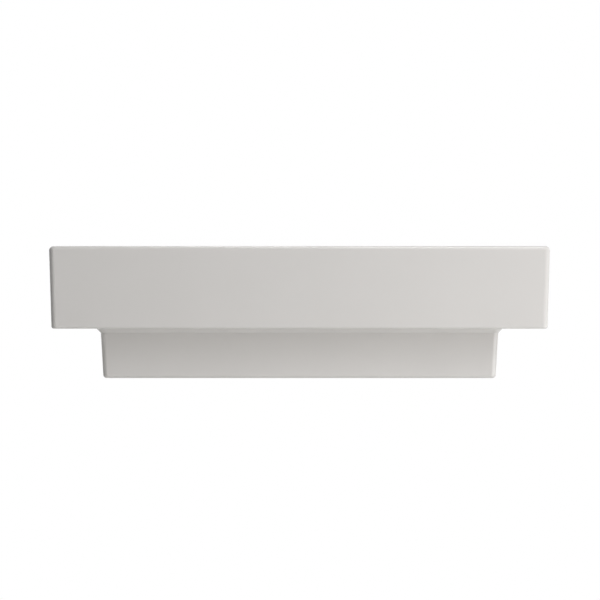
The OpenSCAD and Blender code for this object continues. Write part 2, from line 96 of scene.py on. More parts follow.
class BasinChina(PropertyGroup):
    """Sizes of the china that its box alone doesn't give"""

    slab_height: length("Slab height", "From the slab's underside to the rim", 99)
    overhang: length("Overhang", "Slab's overhang past the lower box", 55)
    slab_draft: length("Slab draft", "Lean of the slab's sides", 2.5)
    skirt_draft: length("Box draft", "Lean of the lower box's sides", 2.6)
    rim_edge: length("Rim edge", "Radius of the rim's outer edge", 5.5)
    slab_edge: length("Slab edge", "Radius of the slab's lower edge", 3)
    corner: length("Corner", "Radius of the vertical edges", 6.5)
    neck: length("Neck", "Splay where the slab meets the lower box", 5.8)
    neck_ease: length("Neck ease", "Radius that eases the splay into both faces", 2)
    skirt_edge: length("Box edge", "Radius of the lower box's bottom edge", 4.5)
    rim_width: length("Rim width", "Rim at the sides and the front of the bowl", 20)
    deck: length("Deck", "Depth of the tap deck behind the bowl", 115)
    bowl_depth: length("Bowl depth", "From the rim to the edge of the floor", 85)
    floor_fall: length("Floor fall", "Fall of the floor to the drain", 12)
    wall_lean: length("Wall lean", "Lean of the bowl's walls", 7)
    bowl_corner: length("Bowl corner", "Radius of the bowl's corners in plan", 34)
    floor_radius: length("Floor radius", "Radius between the bowl's walls and floor", 26)
    lip: length("Lip", "Radius of the bowl's lip", 5)
    wall: length("Wall", "Thickness of the lower box's walls", 12)
    back_wall: length("Back wall", "Thickness of the wall on the studs", 14)
    hollow_radius: length("Hollow radius", "Radius of the inside corners", 12)
    seat_radius: length("Seat radius", "Radius of the seat for the waste", 33.5)
    seat_depth: length("Seat depth", "Depth of the seat for the waste", 4)
    drain_radius: length("Drain radius", "Radius of the drain hole", 23)
    boss_radius: length("Boss radius", "Radius of the boss under the drain", 42)
    boss_height: length("Boss height", "China between the seat and the boss", 28)
    overflow_radius: length("Overflow radius", "Radius of the overflow hole", 11)
    overflow_drop: length("Overflow drop", "From the rim to the overflow hole", 35)
    duct_width: length("Duct width", "Inside width of the overflow duct", 24)
    duct_gap: length("Duct gap", "Inside depth of the overflow duct", 11)
    duct_wall: length("Duct wall", "Wall of the overflow duct", 7)
    stud_hole: length("Stud hole", "Radius of the holes for the bushes", 11)
    hole_lip: length("Hole lip", "Soft edge of the fired holes", 1.8)
    steps: IntProperty(name="Steps", description="Steps of a rounded edge", default=8, min=2, max=24)


class BasinMetal(PropertyGroup):
    """Sizes of the waste and the fixings that their boxes don't give"""

    tail_radius: length("Tail radius", "Outer radius of the waste's thread", 20.95)
    tail_wall: length("Tail wall", "Wall of the waste's tail", 2.45)
    tail_pitch: length("Tail pitch", "Pitch of the pipe thread", 2.309)
    stud_radius: length("Stud radius", "Radius of the wall studs", 5)
    stud_pitch: length("Stud pitch", "Pitch of the studs' machine thread", 1.5)
    wood_pitch: length("Wood pitch", "Pitch of the studs' wood thread", 4)
    post_radius: length("Post radius", "Radius of the plug's stem", 4)
    post_pitch: length("Post pitch", "Pitch of the stem's thread", 1.25)
    wire: length("Wire", "Wire diameter of the spring", 1)
    turns: IntProperty(name="Turns", description="Turns of the spring", default=6, min=2, max=12)


class BasinFinish(PropertyGroup):
    """Colours of the surfaces"""

    glaze: colour("Glaze", "Glazed vitreous china", "#EAE7E4")
    biscuit: colour("Biscuit", "Fired china with no glaze", "#E4E0D6")
    chrome: colour("Chrome", "Chrome plate", "#D3D5D8")
    brass: colour("Brass", "Turned brass", "#D3B878")
    zinc: colour("Zinc", "Zinc plated steel", "#D0D3D7")
    plastic: colour("Plastic", "Moulded acetal", "#E4E3DC")
    rubber: colour("Rubber", "Moulded nitrile rubber", "#26272A")
    floor: colour("Floor", "Painted studio floor", "#E8E8E6")


class BasinStudio(PropertyGroup):
    """Camera, floor and even light"""

    distance: length("Camera distance", "From the slab's front to the lens", 3000)
    field: length("Field", "Width of the view at the slab's front", 717.2)
    eye_drop: length("Eye drop", "From the rim down to the camera's height", 64.6)
    eye_side: length("Eye side", "Camera's offset to the right", 0.6, least=-500)
    floor_drop: length("Floor drop", "From the rim down to the floor", 850)
    floor_radius: length("Floor radius", "Radius at which the floor has faded out", 3200)
    floor_glow: FloatProperty(name="Floor glow", description="Light added to the floor", default=0.45)
    fill: FloatProperty(name="Fill", description="Strength of the light from all around", default=0.05)


# Materials


def add_node(tree, kind, inputs=None, **settings):
    """Adds a node, sets its attributes, and gives each named input a value or a link from a socket."""
    made = tree.nodes.new(kind)
    for key, value in settings.items():
        setattr(made, key, value)
    for key, value in (inputs or {}).items():
        if isinstance(value, bpy.types.NodeSocket):
            tree.links.new(value, made.inputs[key])
        else:
            made.inputs[key].default_value = value
    return made


def surface(name, base, **sockets):
    """A material with one Principled shader. Returns the material, its tree and the shader."""
    made = bpy.data.materials.new(name)
    made.use_nodes = True
    tree = made.node_tree
    shader = tree.nodes["Principled BSDF"]
    shader.inputs["Base Color"].default_value = (*base, 1)
    for key, value in sockets.items():
        shader.inputs[key.replace("_", " ")].default_value = value
    return made, tree, shader


def noise(tree, size, detail=2.0, roughness=0.5):
    """Noise in object space whose blotches are about size metres across."""
    place = add_node(tree, "ShaderNodeTexCoord")
    return add_node(
        tree,
        "ShaderNodeTexNoise",
        {"Vector": place.outputs["Object"], "Scale": 1 / size, "Detail": detail, "Roughness": roughness},
    ).outputs["Fac"]


# The range of the noise's factor that holds nearly all its values
NOISE_LOW, NOISE_HIGH = 0.3, 0.7


def vary(tree, pattern, low, high):
    """Spreads a noise over a range of values."""
    ends = {"From Min": NOISE_LOW, "From Max": NOISE_HIGH, "To Min": low, "To Max": high}
    return add_node(tree, "ShaderNodeMapRange", {"Value": pattern, **ends}).outputs["Result"]


def cloud(tree, shader, pattern, base, low=1.0, high=1.0):
    """Clouds the base colour by a noise, from low to high times that colour."""
    mix = {"Factor": vary(tree, pattern, 0.0, 1.0)}
    mix["A"], mix["B"] = ((*(v * share for v in base), 1) for share in (low, high))
    made = add_node(tree, "ShaderNodeMix", mix, data_type="RGBA")
    tree.links.new(made.outputs[2], shader.inputs["Base Color"])


def dull(tree, shader, pattern, low, high):
    """Varies the roughness by a noise."""
    tree.links.new(vary(tree, pattern, low, high), shader.inputs["Roughness"])


def bump(tree, shader, height, depth):
    """Bumps the shader's normal by a height of depth metres."""
    made = add_node(tree, "ShaderNodeBump", {"Height": height, "Distance": depth, "Strength": 1.0})
    tree.links.new(made.outputs["Normal"], shader.inputs["Normal"])


def glazed_vitreous_china(finish):
    """Slip-cast china under a fired glaze: clear, hard gloss over warm white, with a faint ripple."""
    made, tree, shader = surface("glazed vitreous china", finish.glaze, Roughness=0.07, IOR=1.52)
    cloud(tree, shader, noise(tree, 90 * MM), finish.glaze, low=0.985)
    dull(tree, shader, noise(tree, 30 * MM), 0.055, 0.09)
    bump(tree, shader, noise(tree, 28 * MM, detail=1.0), 0.05 * MM)
    return made


def fired_biscuit(finish):
    """China with no glaze, on the back and in the hollows: dry, matt and slightly sandy."""
    made, tree, shader = surface("fired biscuit china", finish.biscuit, Roughness=0.75, IOR=1.5)
    grain = noise(tree, 3 * MM, detail=6.0, roughness=0.65)
    cloud(tree, shader, grain, finish.biscuit, low=0.9)
    bump(tree, shader, grain, 0.25 * MM)
    return made


def chromed_brass(finish):
    """Polished brass under bright chrome plate: a mirror with fine wiping marks."""
    made, tree, shader = surface("polished chrome plate", finish.chrome, Metallic=1.0, Roughness=0.06)
    dull(tree, shader, noise(tree, 6 * MM, detail=5.0), 0.04, 0.10)
    bump(tree, shader, noise(tree, 9 * MM), 0.008 * MM)
    return made


def turned_metal(name, base, roughness):
    """Bar stock turned on a lathe: metal with fine tool marks, drawn as coarse as they need to show."""
    made, tree, shader = surface(name, base, Metallic=1.0, Roughness=roughness)
    marks = noise(tree, 1.2 * MM, detail=4.0, roughness=0.6)
    dull(tree, shader, marks, roughness * 0.75, roughness * 1.35)
    cloud(tree, shader, noise(tree, 7 * MM), base, low=0.82)
    bump(tree, shader, marks, 0.02 * MM)
    return made


def turned_brass(finish):
    """Plain brass, turned: warm yellow metal, slightly dulled by handling."""
    return turned_metal("turned brass", finish.brass, 0.28)


def zinc_plated_steel(finish):
    """Steel fasteners under bright zinc: pale blue-grey metal with a satin bloom."""
    return turned_metal("zinc plated steel", finish.zinc, 0.34)


def moulded_acetal(finish):
    """Injection-moulded acetal: waxy off-white with a fine matt texture from the tool."""
    made, tree, shader = surface("moulded acetal", finish.plastic, Roughness=0.42, IOR=1.48)
    texture = noise(tree, 1.5 * MM, detail=3.0)
    dull(tree, shader, texture, 0.36, 0.5)
    bump(tree, shader, texture, 0.03 * MM)
    return made


def moulded_rubber(finish):
    """Moulded nitrile rubber: near black, matt, with a dusty bloom."""
    made, tree, shader = surface("moulded nitrile rubber", finish.rubber, Roughness=0.68, IOR=1.52)
    cloud(tree, shader, noise(tree, 4 * MM, detail=4.0), finish.rubber, high=1.5)
    bump(tree, shader, noise(tree, 1.5 * MM, detail=3.0), 0.04 * MM)
    return made


# The material of each slot, and the one of the china's unglazed faces
FINISHES = {
    "china": glazed_vitreous_china,
    "biscuit": fired_biscuit,
    "chrome_plate": chromed_brass,
    "raw_brass": turned_brass,
    "steel": zinc_plated_steel,
    "white_plastic": moulded_acetal,
    "black_rubber": moulded_rubber,
}
made_finishes = {}


def finish_of(name):
    """The material of that finish, made once."""
    if name not in made_finishes:
        made_finishes[name] = FINISHES[name](bpy.context.scene.basin_finish)
    return made_finishes[name]


# Mesh helpers

# Points of a mesh nearer than this are one
WELD = 1e-7
# Shortest edge that a mesh keeps
SHORT = 1e-6
# Share of a side that a rounded corner may take up
CORNER_SHARE = 0.45
# Steps of a rounded edge, and of a smaller one
EDGE_STEPS = 6
SMALL_STEPS = 4


def in_scene(name, data):
    """An object with that data, in the scene's collection."""
    made = bpy.data.objects.new(name, data)
    bpy.context.scene.collection.objects.link(made)
    return made


def mesh_object(name, bm, material):
    """An object from a bmesh, in one material."""
    mesh = bpy.data.meshes.new(name)
    bm.to_mesh(mesh)
    bm.free()
    mesh.materials.append(material)
    return in_scene(name, mesh)


def arc(u, v, radius, start, end, steps=EDGE_STEPS):
    """Points of an arc about u, v. Angles are in degrees."""
    turn = [math.radians(start + (end - start) * k / steps) for k in range(steps + 1)]
    return [(u + radius * math.cos(a), v + radius * math.sin(a)) for a in turn]


def plan_ring(low, high, radius, z, steps):
    """Rounded rectangle in plan between two corners, anticlockwise from above."""
    centres = (
        (high[0] - radius, high[1] - radius, 0),
        (low[0] + radius, high[1] - radius, 90),
        (low[0] + radius, low[1] + radius, 180),
        (high[0] - radius, low[1] + radius, 270),
    )
    return [(x, y, z) for cx, cy, a in centres for x, y in arc(cx, cy, radius, a, a + 90, steps)]


def new_piece(name, bm, finish):
    """An object from a bmesh, in one finish, whose normals point outwards."""
    bmesh.ops.remove_doubles(bm, verts=bm.verts, dist=WELD)
    bmesh.ops.recalc_face_normals(bm, faces=bm.faces)
    return mesh_object(name, bm, finish_of(finish))


def loft(name, rings, finish, looped=False):
    """Solid through rings of equal counts. Its ends are capped, or meet each other where it is looped."""
    bm = bmesh.new()
    rows = [[bm.verts.new(p) for p in ring] for ring in rings]
    count = len(rows[0])
    pairs = list(zip(rows, rows[1:])) + ([(rows[-1], rows[0])] if looped else [])
    for low, high in pairs:
        for i in range(count):
            j = (i + 1) % count
            bm.faces.new((low[i], low[j], high[j], high[i]))
    if not looped:
        bm.faces.new(rows[0])
        bm.faces.new(rows[-1])
    return new_piece(name, bm, finish)


class Thread:
    """A thread's pitch and depth, and the shares of the pitch that its crest and its root take up."""

    def __init__(self, pitch, depth, crest=0.12, root=0.12):
        self.pitch, self.depth, self.crest, self.root = pitch, depth, crest, root

    def cut(self, turns):
        """Depth below the crest after that many turns of the helix."""
        share = abs((turns % 1.0) * 2 - 1)
        return self.depth * min(max((share - self.crest) / (1 - self.crest - self.root), 0.0), 1.0)


def lathe(name, profile, finish, place=Matrix.Identity(4), segments=96):
    """Solid of revolution about Z, then placed. The profile holds (radius, height) or, on a thread,
    (radius, height, thread, share of its depth). It closes, unless both ends lie on the axis."""
    bm = bmesh.new()
    on_axis = profile[0][0] == 0 and profile[-1][0] == 0
    rows = []
    for radius, z, *cut in profile:
        if radius == 0:
            rows.append([bm.verts.new(place @ Vector((0, 0, z)))] * segments)
            continue
        row = []
        for k in range(segments):
            a = 2 * math.pi * k / segments
            r = radius
            if cut:
                thread, share = cut
                r -= share * thread.cut(z / thread.pitch - k / segments)
            row.append(bm.verts.new(place @ Vector((r * math.cos(a), r * math.sin(a), z))))
        rows.append(row)
    pairs = list(zip(rows, rows[1:])) + ([] if on_axis else [(rows[-1], rows[0])])
    for low, high in pairs:
        for i in range(segments):
            j = (i + 1) % segments
            corners = list(dict.fromkeys((low[i], low[j], high[j], high[i])))
            if len(corners) > 2:
                bm.faces.new(corners)
    return new_piece(name, bm, finish)


def threaded(radius, low, high, thread, fade=1.0, per_pitch=12):
    """Profile points up a threaded stretch, whose thread fades in and out over a few pitches."""
    count = max(int((high - low) / thread.pitch * per_pitch), 2)
    points = []
    for k in range(count + 1):
        z = low + (high - low) * k / count
        run = min(z - low, high - z) / (fade * thread.pitch)
        points.append((radius, z, thread, min(run, 1.0)))
    return points


def rounded(points, radius, steps=4):
    """A closed profile whose corners are rounded, each as far as its sides allow."""
    out = []
    for i, corner in enumerate(points):
        before, here, after = Vector(points[i - 1]), Vector(corner), Vector(points[(i + 1) % len(points)])
        back, on = before - here, after - here
        reach = min(radius, back.length * CORNER_SHARE, on.length * CORNER_SHARE)
        if here.x == 0 or reach < SHORT:
            out.append(tuple(here))
            continue
        start, end = here + back.normalized() * reach, here + on.normalized() * reach
        for k in range(steps + 1):
            t = k / steps
            out.append(tuple(start.lerp(here, t).lerp(here.lerp(end, t), t)))
    return out


def combine(target, other, operation):
    """Boolean of two closed pieces. The other's finish stays on the faces that it makes."""
    tool = target.modifiers.new("combine", "BOOLEAN")
    tool.operation = operation
    tool.solver = "EXACT"
    tool.object = other
    tool.material_mode = "TRANSFER"
    apply_modifiers(target)
    if not target.data.polygons:
        raise RuntimeError(f"{target.name} came back empty from {other.name}")
    bpy.data.meshes.remove(other.data)
    return target


def apply_modifiers(piece):
    """Turns the piece's modifiers into its mesh."""
    graph = bpy.context.evaluated_depsgraph_get()
    mesh = bpy.data.meshes.new_from_object(piece.evaluated_get(graph))
    piece.modifiers.clear()
    old = piece.data
    piece.data = mesh
    bpy.data.meshes.remove(old)


def smooth(piece, sharp=32.0, bevel=0.0):
    """Smooth shading that breaks at sharp edges, with an optional small bevel on them."""
    if bevel:
        edge = piece.modifiers.new("broken edges", "BEVEL")
        edge.width = bevel
        edge.segments = 2
        edge.limit_method = "ANGLE"
        edge.angle_limit = math.radians(sharp)
        apply_modifiers(piece)
    bm = bmesh.new()
    bm.from_mesh(piece.data)
    bmesh.ops.dissolve_degenerate(bm, dist=SHORT, edges=bm.edges)
    for face in bm.faces:
        face.smooth = True
    for line in bm.edges:
        line.smooth = line.calc_face_angle(0.0) < math.radians(sharp)
    bm.to_mesh(piece.data)
    bm.free()
    normals = piece.modifiers.new("weighted normals", "WEIGHTED_NORMAL")
    normals.mode = "FACE_AREA"
    normals.keep_sharp = True
    apply_modifiers(piece)
    return piece


def join(name, pieces):
    """Several pieces of one finish as one object."""
    bm = bmesh.new()
    material = pieces[0].data.materials[0]
    for piece in pieces:
        bm.from_mesh(piece.data)
        bpy.data.meshes.remove(piece.data)
    return mesh_object(name, bm, material)


def settle(piece, body, slot, *nodes):
    """The piece rides on its body and stands for its nodes. Its slot is not used."""
    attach(piece, body)
    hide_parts(*nodes)


def at_drain(z=0.0):
    """Place on the drain's axis."""
    return Matrix.Translation(DRAIN + Vector((0, 0, z)))


def stud_places():
    """Places of the two studs, with +Z towards the front."""
    spacing = MOUNTS["wall_fixings"]["dims"]["spacing_x_mm"] * MM
    face_front = Matrix.Rotation(math.radians(90), 4, "X")
    return [Matrix.Translation((side * spacing / 2, 0, 0)) @ face_front for side in (-1, 1)]


def turned(name, profile, slot, body, node, segments=96, sharp=32.0):
    """A piece turned about the drain's axis, in its slot's finish, which stands for its node."""
    settle(smooth(lathe(name, profile, slot, at_drain(), segments), sharp), body, slot, node)


def on_studs(name, profile, slot, node, segments, sharp=32.0):
    """A turned piece on each stud, the pair as one object, which stands for its node."""
    pair = [lathe(name, profile, slot, place, segments) for place in stud_places()]
    settle(smooth(join(name, pair), sharp), "basin", slot, node)


# Loose fit of a piece in its hole or round its tube
FIT_GAP = 0.3 * MM
# Close fit of a thread or of a piece in its groove
THREAD_GAP = 0.1 * MM
# How far a cutter runs past the face that it opens
PAST = 1 * MM
# Least radius of a ring's corners, which keeps their points apart
LEAST_RADIUS = 1 * MM
# Straight stretch that a nearly round ring keeps, for the same reason
RING_FLAT = 0.4 * MM


# The china


def outline_rings(china):
    """Rings of the outer shape, from the bottom edge up to the rim. They run past the wall plane."""
    rim, base = CHINA_HIGH.z, CHINA_LOW.z
    slab = rim - china.slab_height
    slab_in, slab_edge, rim_edge = china.slab_draft, china.slab_edge, china.rim_edge
    skirt_top = slab_in + china.overhang
    skirt_low = skirt_top + china.skirt_draft
    foot, ease = china.skirt_edge, china.neck_ease
    run = china.neck + ease * math.tan(math.radians(22.5))
    run_out = 90 * MM
    # Inset of the wall there, then the arc's centre, its radius and the angles it runs between
    edges = (
        (skirt_low, skirt_low + foot, base + foot, foot, 270, 180),
        (skirt_top, skirt_top - ease, slab - run, ease, 0, 45),
        (skirt_top, skirt_top - run, slab - ease, ease, 45, 90),
        (slab_in, slab_in + slab_edge, slab + slab_edge, slab_edge, 270, 180),
        (0.0, rim_edge, rim - rim_edge, rim_edge, 180, 90),
    )
    rings = []
    for inset, *bend in edges:
        for u, z in arc(*bend, china.steps):
            corner = max(china.corner - (u - inset), LEAST_RADIUS)
            low = (CHINA_LOW.x + u, CHINA_LOW.y + u)
            high = (CHINA_HIGH.x - u, run_out - u)
            rings.append(plan_ring(low, high, corner, z, china.steps))
    return rings


def floor_rings(china, edge_x, edge_y, edge_corner, n):
    """Rings of the bowl's floor, round and steepest at the drain, square at its edge."""
    rows, square_up, dish = 18, 4, 1.6
    drain = china.seat_radius + 3 * MM
    floor = CHINA_HIGH.z - china.bowl_depth
    rings = []
    for k in range(rows):
        share = k / rows
        x, y = (drain + (edge - drain) * share for edge in (edge_x, edge_y))
        corner = y - RING_FLAT + (edge_corner - y) * share**square_up
        height = floor - china.floor_fall * (1 - share) ** dish
        rings.append(plan_ring((-x, DRAIN.y - y), (x, DRAIN.y + y), corner, height, n))
    return rings


def bowl_rings(china):
    """Rings of the bowl's space, from the drain up past the rim."""
    half_x = CHINA_HIGH.x - china.rim_width
    half_y = (-CHINA_LOW.y - china.rim_width - china.deck) / 2
    rim, lip = CHINA_HIGH.z, china.lip
    n = 2 * china.steps
    # A ring's corners tighten by this share of its inset
    tighten = 0.7
    lean = math.atan(china.wall_lean / china.bowl_depth)
    turn_z = rim - china.bowl_depth + china.floor_radius
    turn_in = china.wall_lean * (rim - turn_z) / china.bowl_depth + china.floor_radius / math.cos(lean)
    lip_in = china.wall_lean * lip / china.bowl_depth

    def ring(inset, z):
        low = (-half_x + inset, DRAIN.y - half_y + inset)
        high = (half_x - inset, DRAIN.y + half_y - inset)
        return plan_ring(low, high, china.bowl_corner - tighten * inset, z, n)

    corner = china.bowl_corner - tighten * turn_in
    fall = floor_rings(china, half_x - turn_in, half_y - turn_in, corner, n)
    bend = arc(turn_in, turn_z, china.floor_radius, 270, 180 + math.degrees(lean), n)
    edge = arc(lip_in - lip, rim - lip, lip, 0, 90, china.steps)
    return fall + [ring(u, z) for u, z in bend + edge] + [ring(lip_in - lip, rim + PAST)]


def hollow_rings(china, half_x, front, low, high, ceiling=None):
    """Rings of a straight-sided hollow, whose rounded ceiling may rise to a flat at the boss."""
    r, n = china.hollow_radius, china.steps
    back = -china.back_wall
    rings = [plan_ring((-half_x, front), (half_x, back), r, low, n)]
    for u, z in arc(r, high - r, r, 180, 90, n):
        corner = r - u + LEAST_RADIUS
        rings.append(plan_ring((-half_x + u, front + u), (half_x - u, back - u), corner, z, n))
    if ceiling is not None:
        around = china.boss_radius + r
        left, right = (-around, DRAIN.y - around), (around, DRAIN.y + around)
        rings.append(plan_ring(left, right, around - RING_FLAT, ceiling, n))
    return rings


def soft_box(name, low, high, radius, finish):
    """Box with every edge and corner rounded."""
    # The share of their radius that the rings' corners lose towards the top and the bottom
    closing = 0.95
    bottom = arc(radius, low[2] + radius, radius, 270, 180)
    top = arc(radius, high[2] - radius, radius, 180, 90)
    rings = []
    for u, z in bottom + top:
        corners = (low[0] + u, low[1] + u), (high[0] - u, high[1] - u)
        rings.append(plan_ring(*corners, radius - u * closing, z, EDGE_STEPS))
    return loft(name, rings, finish)


def flared_hole(radius, low, high, low_lip, high_lip):
    """Profile of a cutter for a hole through from low to high, with softly rounded ends."""
    under, over = low - 2 * PAST, high + 2 * PAST
    profile = [(0, under), (radius + low_lip, under)]
    if low_lip:
        profile += arc(radius + low_lip, low + low_lip, low_lip, 270, 180)
    if high_lip:
        profile += arc(radius + high_lip, high - high_lip, high_lip, 180, 90)
    return profile + [(radius + high_lip, over), (0, over)]


def drain_profile(china, drain_z, seat_z, boss_z):
    """Profile of the cutter for the waste's seat and the drain hole, with soft edges."""
    under, over = boss_z - 2 * PAST, drain_z + 2 * PAST
    hole, seat, lip = china.drain_radius, china.seat_radius, china.hole_lip
    profile = [(0, under), (hole + lip, under)]
    profile += arc(hole + lip, boss_z + lip, lip, 270, 180)
    profile += arc(hole + lip / 2, seat_z - lip / 2, lip / 2, 180, 90, SMALL_STEPS)
    profile += [(seat, seat_z)]
    profile += arc(seat + lip, drain_z - lip, lip, 180, 90)
    return profile + [(seat + lip, over), (0, over)]


def boss_profile(china, drain_z, boss_z):
    """Profile of the boss under the drain, which flares out into the bowl's underside."""
    flare, edge = 8 * MM, 2 * MM
    outer, ceiling = china.boss_radius + flare, drain_z - china.back_wall
    profile = [(0, drain_z - PAST), (outer, drain_z - PAST), (outer, ceiling)]
    profile += arc(outer, ceiling - flare, flare, 90, 180)
    profile += arc(china.boss_radius - edge, boss_z + edge, edge, 0, -90, SMALL_STEPS)
    return profile + [(0, boss_z)]


def duct_boxes(china, inside, drain_z, boss_z):
    """Corners of the overflow duct's shells and of the passages in them: in each pair one upright behind
    the bowl and one level to the drain, which stops a step short of the upright one's back."""
    rim, wall, gap, step = CHINA_HIGH.z, china.duct_wall, china.duct_gap, 0.5 * MM
    half = china.duct_width / 2
    side, back = half + wall, inside + gap
    low = boss_z + 7 * MM
    top = rim - china.overflow_drop + china.overflow_radius
    shells = (
        ((-side, -china.deck, low - wall), (side, back + wall, rim - china.back_wall / 2)),
        ((-side, DRAIN.y, low - wall), (side, back + wall - step, drain_z - wall)),
    )
    passages = (
        ((-half, inside, low), (half, back, top)),
        ((-half, DRAIN.y, low), (half, back - step, low + gap)),
    )
    return shells, passages


def overflow_place(china):
    """Place on the bowl's rear wall at the overflow, with +Z into the bowl."""
    lean = math.atan(china.wall_lean / china.bowl_depth)
    y = -china.deck - china.wall_lean * china.overflow_drop / china.bowl_depth
    here = Matrix.Translation((0, y, CHINA_HIGH.z - china.overflow_drop))
    return here @ Matrix.Rotation(math.radians(90) - lean, 4, "X")


class BASIN_OT_china(Operator):
    """Build the glazed china with its bowl, holes and hollows"""

    bl_idname = "basin.china"
    bl_label = "China"

    def execute(self, context):
        china = context.scene.basin_china
        rim, base = CHINA_HIGH.z, CHINA_LOW.z
        slab = rim - china.slab_height
        floor = rim - china.bowl_depth
        drain_z = floor - china.floor_fall
        seat_z = drain_z - china.seat_depth
        boss_z = seat_z - china.boss_height
        skirt_low = china.slab_draft + china.overhang + china.skirt_draft
        half_skirt = CHINA_HIGH.x - skirt_low - china.wall
        half_slab = CHINA_HIGH.x - china.slab_draft - china.wall
        front = CHINA_LOW.y + skirt_low + china.wall
        deck_front = -china.deck + china.wall
        deck_high = rim - china.back_wall
        body = loft("china_basin", outline_rings(china), "china")

        def add(piece):
            combine(body, piece, "UNION")

        def cut(piece):
            combine(body, piece, "DIFFERENCE")

        # The room in the lower box, the room under the deck, and the way between the two
        under_bowl = (half_skirt, front, base - PAST, floor - china.back_wall, drain_z - china.back_wall)
        under_deck = (half_slab, deck_front, slab + china.wall, deck_high)
        behind = (half_skirt, deck_front, base - PAST, deck_high - PAST)
        for room in (under_bowl, under_deck, behind):
            cut(loft("hollow", hollow_rings(china, *room), "biscuit"))

        add(lathe("boss", boss_profile(china, drain_z, boss_z), "biscuit", at_drain()))
        shells, passages = duct_boxes(china, deck_front, drain_z, boss_z)
        for corners in shells:
            add(soft_box("duct", *corners, 4 * MM, "biscuit"))
        cut(loft("bowl", bowl_rings(china), "china"))
        for corners in passages:
            cut(soft_box("passage", *corners, 2 * MM, "biscuit"))

        cut(lathe("drain_cut", drain_profile(china, drain_z, seat_z, boss_z), "china", at_drain()))
        into_duct, bush_lip = -china.wall - 3 * MM, 1 * MM
        overflow = flared_hole(china.overflow_radius, into_duct, 0, 0, china.hole_lip)
        cut(lathe("overflow_cut", overflow, "china", overflow_place(china)))
        tap = MOUNTS["tap_hole"]
        tap_hole = flared_hole(tap["dims"]["r_mm"] * MM, deck_high, rim, 0, china.hole_lip)
        cut(lathe("tap_cut", tap_hole, "china", Matrix.Translation((*tap["pos_m"][:2], 0))))
        stud_hole = flared_hole(china.stud_hole, 0, china.back_wall, bush_lip, bush_lip)
        for place in stud_places():
            cut(lathe("stud_cut", stud_hole, "biscuit", place))

        # What runs past the wall plane comes off, with a soft edge all round
        wide, deep, tall = CHINA_HIGH.x + 50 * MM, 120 * MM, 9 * MM
        cut(soft_box("wall_cut", (-wide, 0, base - tall), (wide, deep, rim + tall), 5 * MM, "biscuit"))
        smooth(body, sharp=38)
        settle(body, "basin", "china", "basin_body")
        return {"FINISHED"}


# The metal, plastic and rubber pieces


def outer_radius(node):
    """Half the width of an upright round node."""
    low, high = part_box(node)
    return (high.x - low.x) / 2


def band(inner, outer, low, high):
    """Corners of a plain ring's closed profile."""
    return [(inner, low), (outer, low), (outer, high), (inner, high)]


def ring_profile(node, bore, edge):
    """Closed profile of a ring in the box of an upright node, with a given bore and rounded edges."""
    low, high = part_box(node)
    return rounded(band(bore, outer_radius(node), low.z, high.z), edge)


def hex_nut(name, bore, finish, place, height, across_flats, segments=72):
    """Hexagon nut with chamfered corners and a countersunk bore, standing on z = 0 of its place."""
    flat = across_flats / 2
    # Radii of the end face, just inside the flats, and of the countersink, just outside the bore
    face, sink = flat * 0.95, bore * 1.12
    chamfer = math.tan(math.radians(30))
    side = math.radians(60)
    rings = [[] for _ in range(8)]
    for k in range(segments):
        turn = 2 * math.pi * k / segments
        reach = flat / math.cos(turn % side - side / 2)
        edge = (reach - face) * chamfer
        under = ((bore, sink - bore), (sink, 0), (face, 0), (reach, edge))
        outline = (*under, *((radius, height - z) for radius, z in reversed(under)))
        for ring, (radius, z) in zip(rings, outline):
            ring.append(place @ Vector((radius * math.cos(turn), radius * math.sin(turn), z)))
    return smooth(loft(name, rings, finish, looped=True), sharp=28, bevel=0.15 * MM)


class BASIN_OT_overflow_ring(Operator):
    """Build the chrome ring of the overflow"""

    bl_idname = "basin.overflow_ring"
    bl_label = "Overflow ring"

    def execute(self, context):
        china = context.scene.basin_china
        sheet, lip_reach, lip_edge, mouth = 1.2 * MM, 4.4 * MM, 0.7 * MM, 1.4 * MM
        # The tube stops short of the wall's back, and the lip stands off the glaze by a hair
        tail, seat = -china.wall + 2.2 * MM, 0.15 * MM
        tube = china.overflow_radius - FIT_GAP
        bore = tube - sheet
        lip = china.overflow_radius + lip_reach
        profile = [(bore, tail), (tube, tail), (tube, seat), (lip, seat)]
        profile += arc(lip - lip_edge, 0.9 * MM, lip_edge, 0, 100, 5)
        profile += arc(bore + mouth, 0.1 * MM, mouth, 95, 180)
        ring = lathe("overflow_trim_ring", profile, "chrome_plate", overflow_place(china))
        settle(smooth(ring), "basin", "chrome_plate", "overflow_ring")
        return {"FINISHED"}


# From the waste's lower end up to its cross, and the cross's height
CROSS_RISE = 13 * MM
CROSS_HEIGHT = 4 * MM


def waste_profile(metal):
    """Closed profile of the waste: two threads and the relief between them, neck and flange."""
    low, high = WASTE_LOW.z, WASTE_HIGH.z
    radius, bore = metal.tail_radius, metal.tail_radius - metal.tail_wall
    pipe = Thread(metal.tail_pitch, 1.1 * MM)
    root = radius - pipe.depth
    relief = low + MOUNTS["waste_tail"]["dims"]["length_mm"] * MM
    groove, step = 1 * MM, 0.1 * MM
    thread_top, neck = high - 26 * MM, high - 25 * MM
    flange, under = outer_radius("waste_body"), high - 2.2 * MM
    edge, throat = 1 * MM, 3.4 * MM
    profile = [(bore, low), (root, low)]
    profile += threaded(radius, low + 2 * step, relief - step, pipe)
    profile += [(root, relief), (root, relief + groove)]
    profile += threaded(radius, relief + groove + step, thread_top, pipe)
    profile += [(radius, neck), (radius, under), (flange - edge / 2, under)]
    profile += arc(flange - edge, high - edge, edge, -60, 90)
    profile += [(bore + throat, high)]
    return profile + arc(bore + throat, high - throat, throat, 100, 180, 8)


